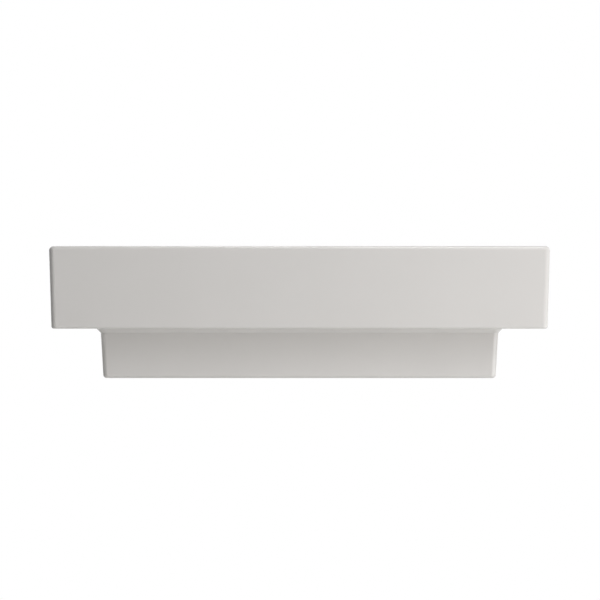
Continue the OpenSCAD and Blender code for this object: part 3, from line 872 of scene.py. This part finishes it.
class BASIN_OT_waste(Operator):
    """Build the chromed waste with its flange, slots, thread and cross"""

    bl_idname = "basin.waste"
    bl_label = "Waste"

    def execute(self, context):
        metal = context.scene.basin_metal
        body = lathe("waste_with_thread", waste_profile(metal), "chrome_plate", at_drain(), 128)
        x, y = DRAIN.x, DRAIN.y

        def across(half_x, half_y, low, high, radius):
            """Bar through the drain's axis."""
            corners = (x - half_x, y - half_y, low), (x + half_x, y + half_y, high)
            return soft_box("bar", *corners, radius, "chrome_plate")

        slot_half, slot_low, slot_high = 9 * MM, -20.5 * MM, -12.5 * MM
        slot = across(slot_half, 2 * metal.tail_radius, slot_low, slot_high, 1 * MM)
        combine(body, slot, "DIFFERENCE")
        low = WASTE_LOW.z + CROSS_RISE
        high = low + CROSS_HEIGHT
        hub_bore, drill_radius, hub_radius, hub_edge = 4.1 * MM, 6.5 * MM, 7 * MM, 0.5 * MM
        reach, half, arm_edge = metal.tail_radius - metal.tail_wall / 2, 2 * MM, 0.8 * MM
        combine(body, across(reach, half, low, high, arm_edge), "UNION")
        # The second arm is lower by a hair, so that their tops don't share a plane
        combine(body, across(half, reach, low, high - 0.2 * MM, arm_edge), "UNION")
        drill = band(0, drill_radius, low - PAST, high + PAST)
        combine(body, lathe("drill", drill, "chrome_plate", at_drain(), 48), "DIFFERENCE")
        hub = rounded(band(hub_bore, hub_radius, low, high), hub_edge)
        combine(body, lathe("hub", hub, "chrome_plate", at_drain(), 48), "UNION")
        settle(smooth(body, sharp=34), "basin", "chrome_plate", "waste_body")
        return {"FINISHED"}


class BASIN_OT_waste_washers(Operator):
    """Build the soft rings that seal the waste to the china"""

    bl_idname = "basin.waste_washers"
    bl_label = "Waste washers"

    def execute(self, context):
        metal = context.scene.basin_metal
        bore = metal.tail_radius + FIT_GAP
        gasket = ring_profile("flange_gasket", bore, 0.4 * MM)
        turned("flange_foam_ring", gasket, "black_rubber", "basin", "flange_gasket")
        slip = ring_profile("slip_washer", bore, 0.3 * MM)
        turned("slip_ring_plastic", slip, "white_plastic", "basin", "slip_washer")
        low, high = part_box("taper_washer")
        outer = outer_radius("taper_washer")
        # The cone's upper third stands in the drain hole
        shoulder = high.z - (high.z - low.z) / 3
        hole = context.scene.basin_china.drain_radius - FIT_GAP
        cone = [(bore, low.z), (outer, low.z), (outer, shoulder), (hole, shoulder)]
        cone += [(metal.tail_radius + 1 * MM, high.z), (bore, high.z)]
        cone = rounded(cone, 0.8 * MM)
        turned("cone_washer_rubber", cone, "black_rubber", "basin", "taper_washer")
        return {"FINISHED"}


class BASIN_OT_nuts(Operator):
    """Build the hexagon nuts"""

    bl_idname = "basin.nuts"
    bl_label = "Nuts"

    def execute(self, context):
        metal = context.scene.basin_metal
        tail, post = metal.tail_radius + THREAD_GAP, metal.post_radius + THREAD_GAP
        upright = (
            ("back_nut_brass", "back_nut", tail, "raw_brass", "basin"),
            ("stem_nut_steel", "post_locknut", post, "steel", "plug"),
            ("cross_nut_steel", "click_nut", post, "steel", "basin"),
        )
        for name, node, bore, slot, body in upright:
            low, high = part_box(node)
            nut = hex_nut(name, bore, slot, at_drain(low.z), high.z - low.z, high.y - low.y)
            settle(nut, body, slot, node)
        low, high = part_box("fixing_nuts")
        seat = Matrix.Translation((0, 0, -high.y))
        sizes = (high.y - low.y, high.z - low.z)
        pair = [
            hex_nut("wall_nut", metal.stud_radius, "steel", place @ seat, *sizes)
            for place in stud_places()
        ]
        settle(smooth(join("wall_nuts_steel", pair), 28), "basin", "steel", "fixing_nuts")
        return {"FINISHED"}


def cap_profile(metal, seal_inner, seal_outer, groove, post_top):
    """Profile of the plug's cap: a socket for the stem, a groove for the seal and a domed top."""
    low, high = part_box("plug_cap")
    radius = outer_radius("plug_cap")
    under = low.z + 1 * MM
    hub, low_edge, top_edge, skin = 8 * MM, 0.5 * MM, 1 * MM, 0.25 * MM
    edge = under + 1.6 * MM
    rise = high.z - edge
    sphere = (radius * radius + rise * rise) / (2 * rise)
    start = math.degrees(math.asin((sphere - rise) / sphere))
    socket, socket_top = metal.post_radius + THREAD_GAP, post_top + THREAD_GAP
    inner, outer = seal_inner - THREAD_GAP, seal_outer + THREAD_GAP
    profile = [(0, socket_top), (socket, socket_top), (socket, low.z), (hub, low.z), (hub, under)]
    profile += [(inner, under), (inner, groove), (outer, groove), (outer, under)]
    profile += arc(radius - low_edge, under + low_edge, low_edge, 270, 360, SMALL_STEPS)
    profile += arc(radius - top_edge, edge - skin, top_edge, 0, start - 4, 5)
    return profile + arc(0, high.z - sphere, sphere, start + 2.5, 90, 24)[:-1] + [(0, high.z)]


class BASIN_OT_plug(Operator):
    """Build the domed cap with its seal and stem"""

    bl_idname = "basin.plug"
    bl_label = "Plug"

    def execute(self, context):
        metal = context.scene.basin_metal
        low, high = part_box("plug_seal")
        outer = outer_radius("plug_seal")
        inner = outer - 4 * MM
        post_low, post_high = (corner.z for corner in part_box("plug_post"))
        cap = cap_profile(metal, inner, outer, high.z + THREAD_GAP, post_high)
        turned("plug_cap_domed", cap, "chrome_plate", "plug", "plug_cap", 128)
        seal = rounded(band(inner, outer, low.z, high.z), 1 * MM, 5)
        turned("plug_seal_rubber", seal, "black_rubber", "plug", "plug_seal")
        fine = Thread(metal.post_pitch, 0.65 * MM)
        root = metal.post_radius - fine.depth
        plain = 0.3 * MM
        stem = [(0, post_low), (root, post_low)]
        stem += threaded(metal.post_radius, post_low + plain, post_high - plain, fine)
        stem += [(root, post_high), (0, post_high)]
        turned("plug_stem_threaded", stem, "steel", "plug", "plug_post", 48, 50)
        return {"FINISHED"}


class BASIN_OT_click(Operator):
    """Build the housing and gland of the click mechanism, and give the plunger and rotor a plastic finish
    """

    bl_idname = "basin.click"
    bl_label = "Click mechanism"

    def execute(self, context):
        metal = context.scene.basin_metal
        low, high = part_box("click_housing")
        spring_low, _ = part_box("click_spring")
        tube_low = WASTE_LOW.z + CROSS_RISE + CROSS_HEIGHT
        outer, bore, edge = outer_radius("click_housing"), 8.1 * MM, 0.4 * MM
        stud, fine = metal.post_radius, Thread(metal.post_pitch, 0.6 * MM)
        root = stud - fine.depth
        profile = [(0, low.z), (root, low.z)]
        profile += threaded(stud, low.z + 0.3 * MM, tube_low - 0.2 * MM, fine)
        profile += [(root, tube_low)]
        profile += rounded([(outer, tube_low), (outer, high.z), (bore, high.z)], edge)
        profile += [(bore, spring_low.z), (0, spring_low.z)]
        turned("click_housing_tube", profile, "white_plastic", "basin", "click_housing", 64, 40)
        low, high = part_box("click_gland")
        shaft, spigot, shoulder = 6.5 * MM, bore - THREAD_GAP, low.z + 3 * MM
        gland = [(shaft, low.z), (spigot, low.z), (spigot, shoulder)]
        gland += [(outer, shoulder), (outer, high.z), (shaft, high.z)]
        gland = rounded(gland, edge)
        turned("click_gland_collar", gland, "white_plastic", "basin", "click_gland", 64)
        for node in ("click_plunger", "click_rotor"):
            kept = frame["nodes"][node]
            kept.data.materials.clear()
            kept.data.materials.append(finish_of("white_plastic"))
        return {"FINISHED"}


class BASIN_OT_spring(Operator):
    """Build the compression spring of the click mechanism"""

    bl_idname = "basin.spring"
    bl_label = "Spring"

    def execute(self, context):
        metal = context.scene.basin_metal
        low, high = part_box("click_spring")
        wire = metal.wire / 2
        mean = outer_radius("click_spring") - wire
        climb = high.z - low.z - metal.wire
        per_turn, sides = 32, 12
        count = per_turn * metal.turns
        around = [2 * math.pi * s / sides for s in range(sides)]
        up = Vector((0, 0, 1))
        rings = []
        for k in range(count + 1):
            a = 2 * math.pi * k / per_turn
            height = low.z + wire + climb * k / count
            centre = Vector((mean * math.cos(a), mean * math.sin(a), height)) + DRAIN
            out = Vector((math.cos(a), math.sin(a), 0))
            rings.append([centre + wire * (math.cos(b) * out + math.sin(b) * up) for b in around])
        spring = smooth(loft("click_spring_wire", rings, "steel"), 50)
        settle(spring, "basin", "steel", "click_spring")
        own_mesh(spring)
        return {"FINISHED"}


def stud_profile(metal):
    """Profile of a wall stud from its point: wood thread, plain shank in the china, machine thread."""
    low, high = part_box("hanger_bolts")
    front, point = -low.y, -high.y
    radius, blunt, tip = metal.stud_radius, 0.6 * MM, point + 12 * MM
    shank_low, shank_high, shank = -20 * MM, -0.5 * MM, radius - 0.4 * MM
    machine = Thread(metal.stud_pitch, 0.85 * MM)
    wood = Thread(metal.wood_pitch, 1.5 * MM, crest=0.06, root=0.5)
    profile = [(0, point), (blunt, point + 0.3 * MM)]
    # The tip swells in a quarter of a sine wave, and its thread deepens along it
    for r, z, thread, share in threaded(radius, point + 0.5 * MM, tip, wood, 0.5, 20):
        along = (z - point) / (tip - point)
        swell = math.sin(along * math.pi / 2)
        profile.append((blunt + (r - blunt) * swell, z, thread, along * min(share * 9, 1)))
    # Past the tip the thread is full, and fades out only at the shank
    for r, z, thread, share in threaded(radius, tip + 0.2 * MM, shank_low - 1 * MM, wood, 0.5, 20):
        profile.append((r, z, thread, share if z > shank_low - metal.wood_pitch else 1.0))
    profile += [(shank, shank_low), (shank, shank_high)]
    profile += threaded(radius, 0.0, front - 0.8 * MM, machine)
    return profile + [(radius - machine.depth, front), (0, front)]


class BASIN_OT_studs(Operator):
    """Build the wall studs with their machine and wood threads"""

    bl_idname = "basin.studs"
    bl_label = "Wall studs"

    def execute(self, context):
        profile = stud_profile(context.scene.basin_metal)
        on_studs("wall_studs_threaded", profile, "steel", "hanger_bolts", 48, 50)
        return {"FINISHED"}


class BASIN_OT_bushes(Operator):
    """Build the plastic bushes and steel washers on the studs"""

    bl_idname = "basin.bushes"
    bl_label = "Bushes and washers"

    def execute(self, context):
        china = context.scene.basin_china
        bore = context.scene.basin_metal.stud_radius + FIT_GAP
        low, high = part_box("fixing_bushes")
        flange = (high.z - low.z) / 2
        spigot = china.stud_hole - FIT_GAP
        back, seat, front = -high.y, china.back_wall, -low.y
        bush = [(bore, back), (spigot, back), (spigot, seat)]
        bush += [(flange, seat), (flange, front), (bore, front)]
        bush = rounded(bush, 0.6 * MM)
        on_studs("stud_bushes_plastic", bush, "white_plastic", "fixing_bushes", 72)
        low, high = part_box("fixing_washers")
        washer = rounded(band(bore, (high.z - low.z) / 2, -high.y, -low.y), 0.4 * MM)
        on_studs("stud_washers_steel", washer, "steel", "fixing_washers", 72)
        return {"FINISHED"}


# The studio


def area_light(name, place, target, width, height, power):
    """Rectangular softbox at place, turned to the target."""
    lamp = bpy.data.lights.new(name, "AREA")
    lamp.shape = "RECTANGLE"
    lamp.size, lamp.size_y = width, height
    lamp.energy = power
    made = in_scene(name, lamp)
    made.location = place
    made.rotation_euler = (Vector(target) - Vector(place)).to_track_quat("-Z", "Y").to_euler()
    made.visible_camera = False
    return made


def any_of(tree, *sockets):
    """1 where any of the factors is 1."""
    total = sockets[0]
    for other in sockets[1:]:
        total = add_node(tree, "ShaderNodeMath", {0: total, 1: other}, operation="MAXIMUM").outputs[0]
    return total


def seen_ray(tree):
    """1 for a ray from the camera, off a glossy surface or through glass."""
    path = add_node(tree, "ShaderNodeLightPath")
    rays = ("Is Camera Ray", "Is Glossy Ray", "Is Transmission Ray")
    return any_of(tree, *(path.outputs[ray] for ray in rays))


def mix_shaders(tree, share, one, other):
    """One shader, or the other where share is 1."""
    ends = {1: one.outputs[0], 2: other.outputs[0]}
    return add_node(tree, "ShaderNodeMixShader", {0: share, **ends}).outputs[0]


def studio_world(fill):
    """White seen directly, in gloss and through glass; an even pale fill for diffuse light."""
    world = bpy.data.worlds.new("studio sky")
    bpy.context.scene.world = world
    world.use_nodes = True
    tree = world.node_tree
    tree.nodes.clear()
    seen = seen_ray(tree)
    light = add_node(tree, "ShaderNodeBackground", {"Color": (1, 1, 1, 1), "Strength": fill})
    white = add_node(tree, "ShaderNodeBackground", {"Color": (1, 1, 1, 1), "Strength": 1.0})
    add_node(tree, "ShaderNodeOutputWorld", {"Surface": mix_shaders(tree, seen, light, white)})


def painted_floor(studio, finish):
    """Matt white paint. It looks near white to the camera but keeps the soft shadow, fades out before its
    edge, and is clear from below, so that it hides nothing from a camera there."""
    made, tree, shader = surface("matt painted floor", finish.floor, Roughness=0.9)
    shader.inputs["Emission Color"].default_value = (1, 1, 1, 1)
    product = {0: seen_ray(tree), 1: studio.floor_glow}
    glow = add_node(tree, "ShaderNodeMath", product, operation="MULTIPLY")
    tree.links.new(glow.outputs[0], shader.inputs["Emission Strength"])
    place = add_node(tree, "ShaderNodeTexCoord")
    reach = add_node(tree, "ShaderNodeVectorMath", {0: place.outputs["Object"]}, operation="LENGTH")
    # Share of the radius up to which the floor is whole
    whole = 0.4
    ends = {"From Min": studio.floor_radius * whole, "From Max": studio.floor_radius}
    spread = {"Value": reach.outputs["Value"], **ends}
    fade = add_node(tree, "ShaderNodeMapRange", spread, interpolation_type="SMOOTHSTEP")
    side = add_node(tree, "ShaderNodeNewGeometry")
    clear = add_node(tree, "ShaderNodeBsdfTransparent")
    open_part = any_of(tree, fade.outputs["Result"], side.outputs["Backfacing"])
    both = mix_shaders(tree, open_part, shader, clear)
    tree.links.new(both, tree.nodes["Material Output"].inputs["Surface"])
    return made


def studio_floor(studio, finish):
    """Round, flat floor under the basin."""
    bm = bmesh.new()
    bmesh.ops.create_circle(bm, cap_ends=True, segments=96, radius=studio.floor_radius)
    floor = mesh_object("studio_floor", bm, painted_floor(studio, finish))
    floor.location = DRAIN + Vector((0, 0, CHINA_HIGH.z - studio.floor_drop))


# Softboxes: place in metres, width, height, and power in watts
SOFTBOXES = {
    "key": ((1.1, -2.2, 1.0), 1.7, 1.7, 22.1),
    "front_high": ((1.14, -2.09, 2.0), 2.2, 1.8, 16.1),
    "overhead_strip": ((0.15, -0.35, 1.6), 1.3, 0.35, 7.5),
    "low_right": ((1.3, -1.1, -0.4), 1.2, 0.6, 6.1),
    "low_front": ((0.0, -1.2, -0.7), 1.4, 0.6, 0.9),
    "behind": ((0.0, 2.6, 0.9), 3.6, 2.2, 40.0),
}
# The two that face the deck at a low angle stay out of the gloss, where they would bleach it
NOT_IN_GLOSS = ("key", "behind")


class BASIN_OT_studio(Operator):
    """Set the camera, softboxes, sky and floor"""

    bl_idname = "basin.studio"
    bl_label = "Studio"

    def execute(self, context):
        scene = context.scene
        studio = scene.basin_studio
        front = CHINA_LOW.y
        middle = Vector((0, front, (CHINA_HIGH.z + CHINA_LOW.z) / 2))
        sensor = 36
        lens = bpy.data.cameras.new("front_camera")
        lens.sensor_width = sensor
        lens.lens = sensor * studio.distance / studio.field
        scene.camera = in_scene("front_camera", lens)
        scene.camera.location = (studio.eye_side, front - studio.distance, CHINA_HIGH.z - studio.eye_drop)
        scene.camera.rotation_euler = (math.radians(90), 0, 0)
        for name, (place, width, height, power) in SOFTBOXES.items():
            lamp = area_light(name, place, middle, width, height, power)
            lamp.visible_glossy = name not in NOT_IN_GLOSS
        studio_world(studio.fill)
        studio_floor(studio, scene.basin_finish)
        scene.view_settings.view_transform = "Standard"
        return {"FINISHED"}


class BASIN_PT_panel(Panel):
    """Lists the basin's pieces"""

    bl_idname = "BASIN_PT_panel"
    bl_label = "Wall-hung basin"
    bl_space_type = "VIEW_3D"
    bl_region_type = "UI"
    bl_category = "Basin"

    def draw(self, context):
        for operator in OPERATORS:
            self.layout.operator(operator.bl_idname)


GROUPS = {
    "basin_china": BasinChina,
    "basin_metal": BasinMetal,
    "basin_finish": BasinFinish,
    "basin_studio": BasinStudio,
}
OPERATORS = (
    BASIN_OT_china,
    BASIN_OT_overflow_ring,
    BASIN_OT_waste,
    BASIN_OT_waste_washers,
    BASIN_OT_nuts,
    BASIN_OT_plug,
    BASIN_OT_click,
    BASIN_OT_spring,
    BASIN_OT_studs,
    BASIN_OT_bushes,
    BASIN_OT_studio,
)


CLASSES = (*GROUPS.values(), *OPERATORS, BASIN_PT_panel)


def register():
    """Registers the classes and hangs the property groups on the scene."""
    for cls in CLASSES:
        bpy.utils.register_class(cls)
    for name, group in GROUPS.items():
        setattr(bpy.types.Scene, name, PointerProperty(type=group))


def unregister():
    """Takes them off again."""
    for name in GROUPS:
        delattr(bpy.types.Scene, name)
    for cls in reversed(CLASSES):
        bpy.utils.unregister_class(cls)


def main():
    """Builds every piece and the studio."""
    register()
    for operator in OPERATORS:
        category, name = operator.bl_idname.split(".")
        getattr(getattr(bpy.ops, category), name)()
    bpy.context.view_layer.update()


if __name__ == "__main__":
    main()
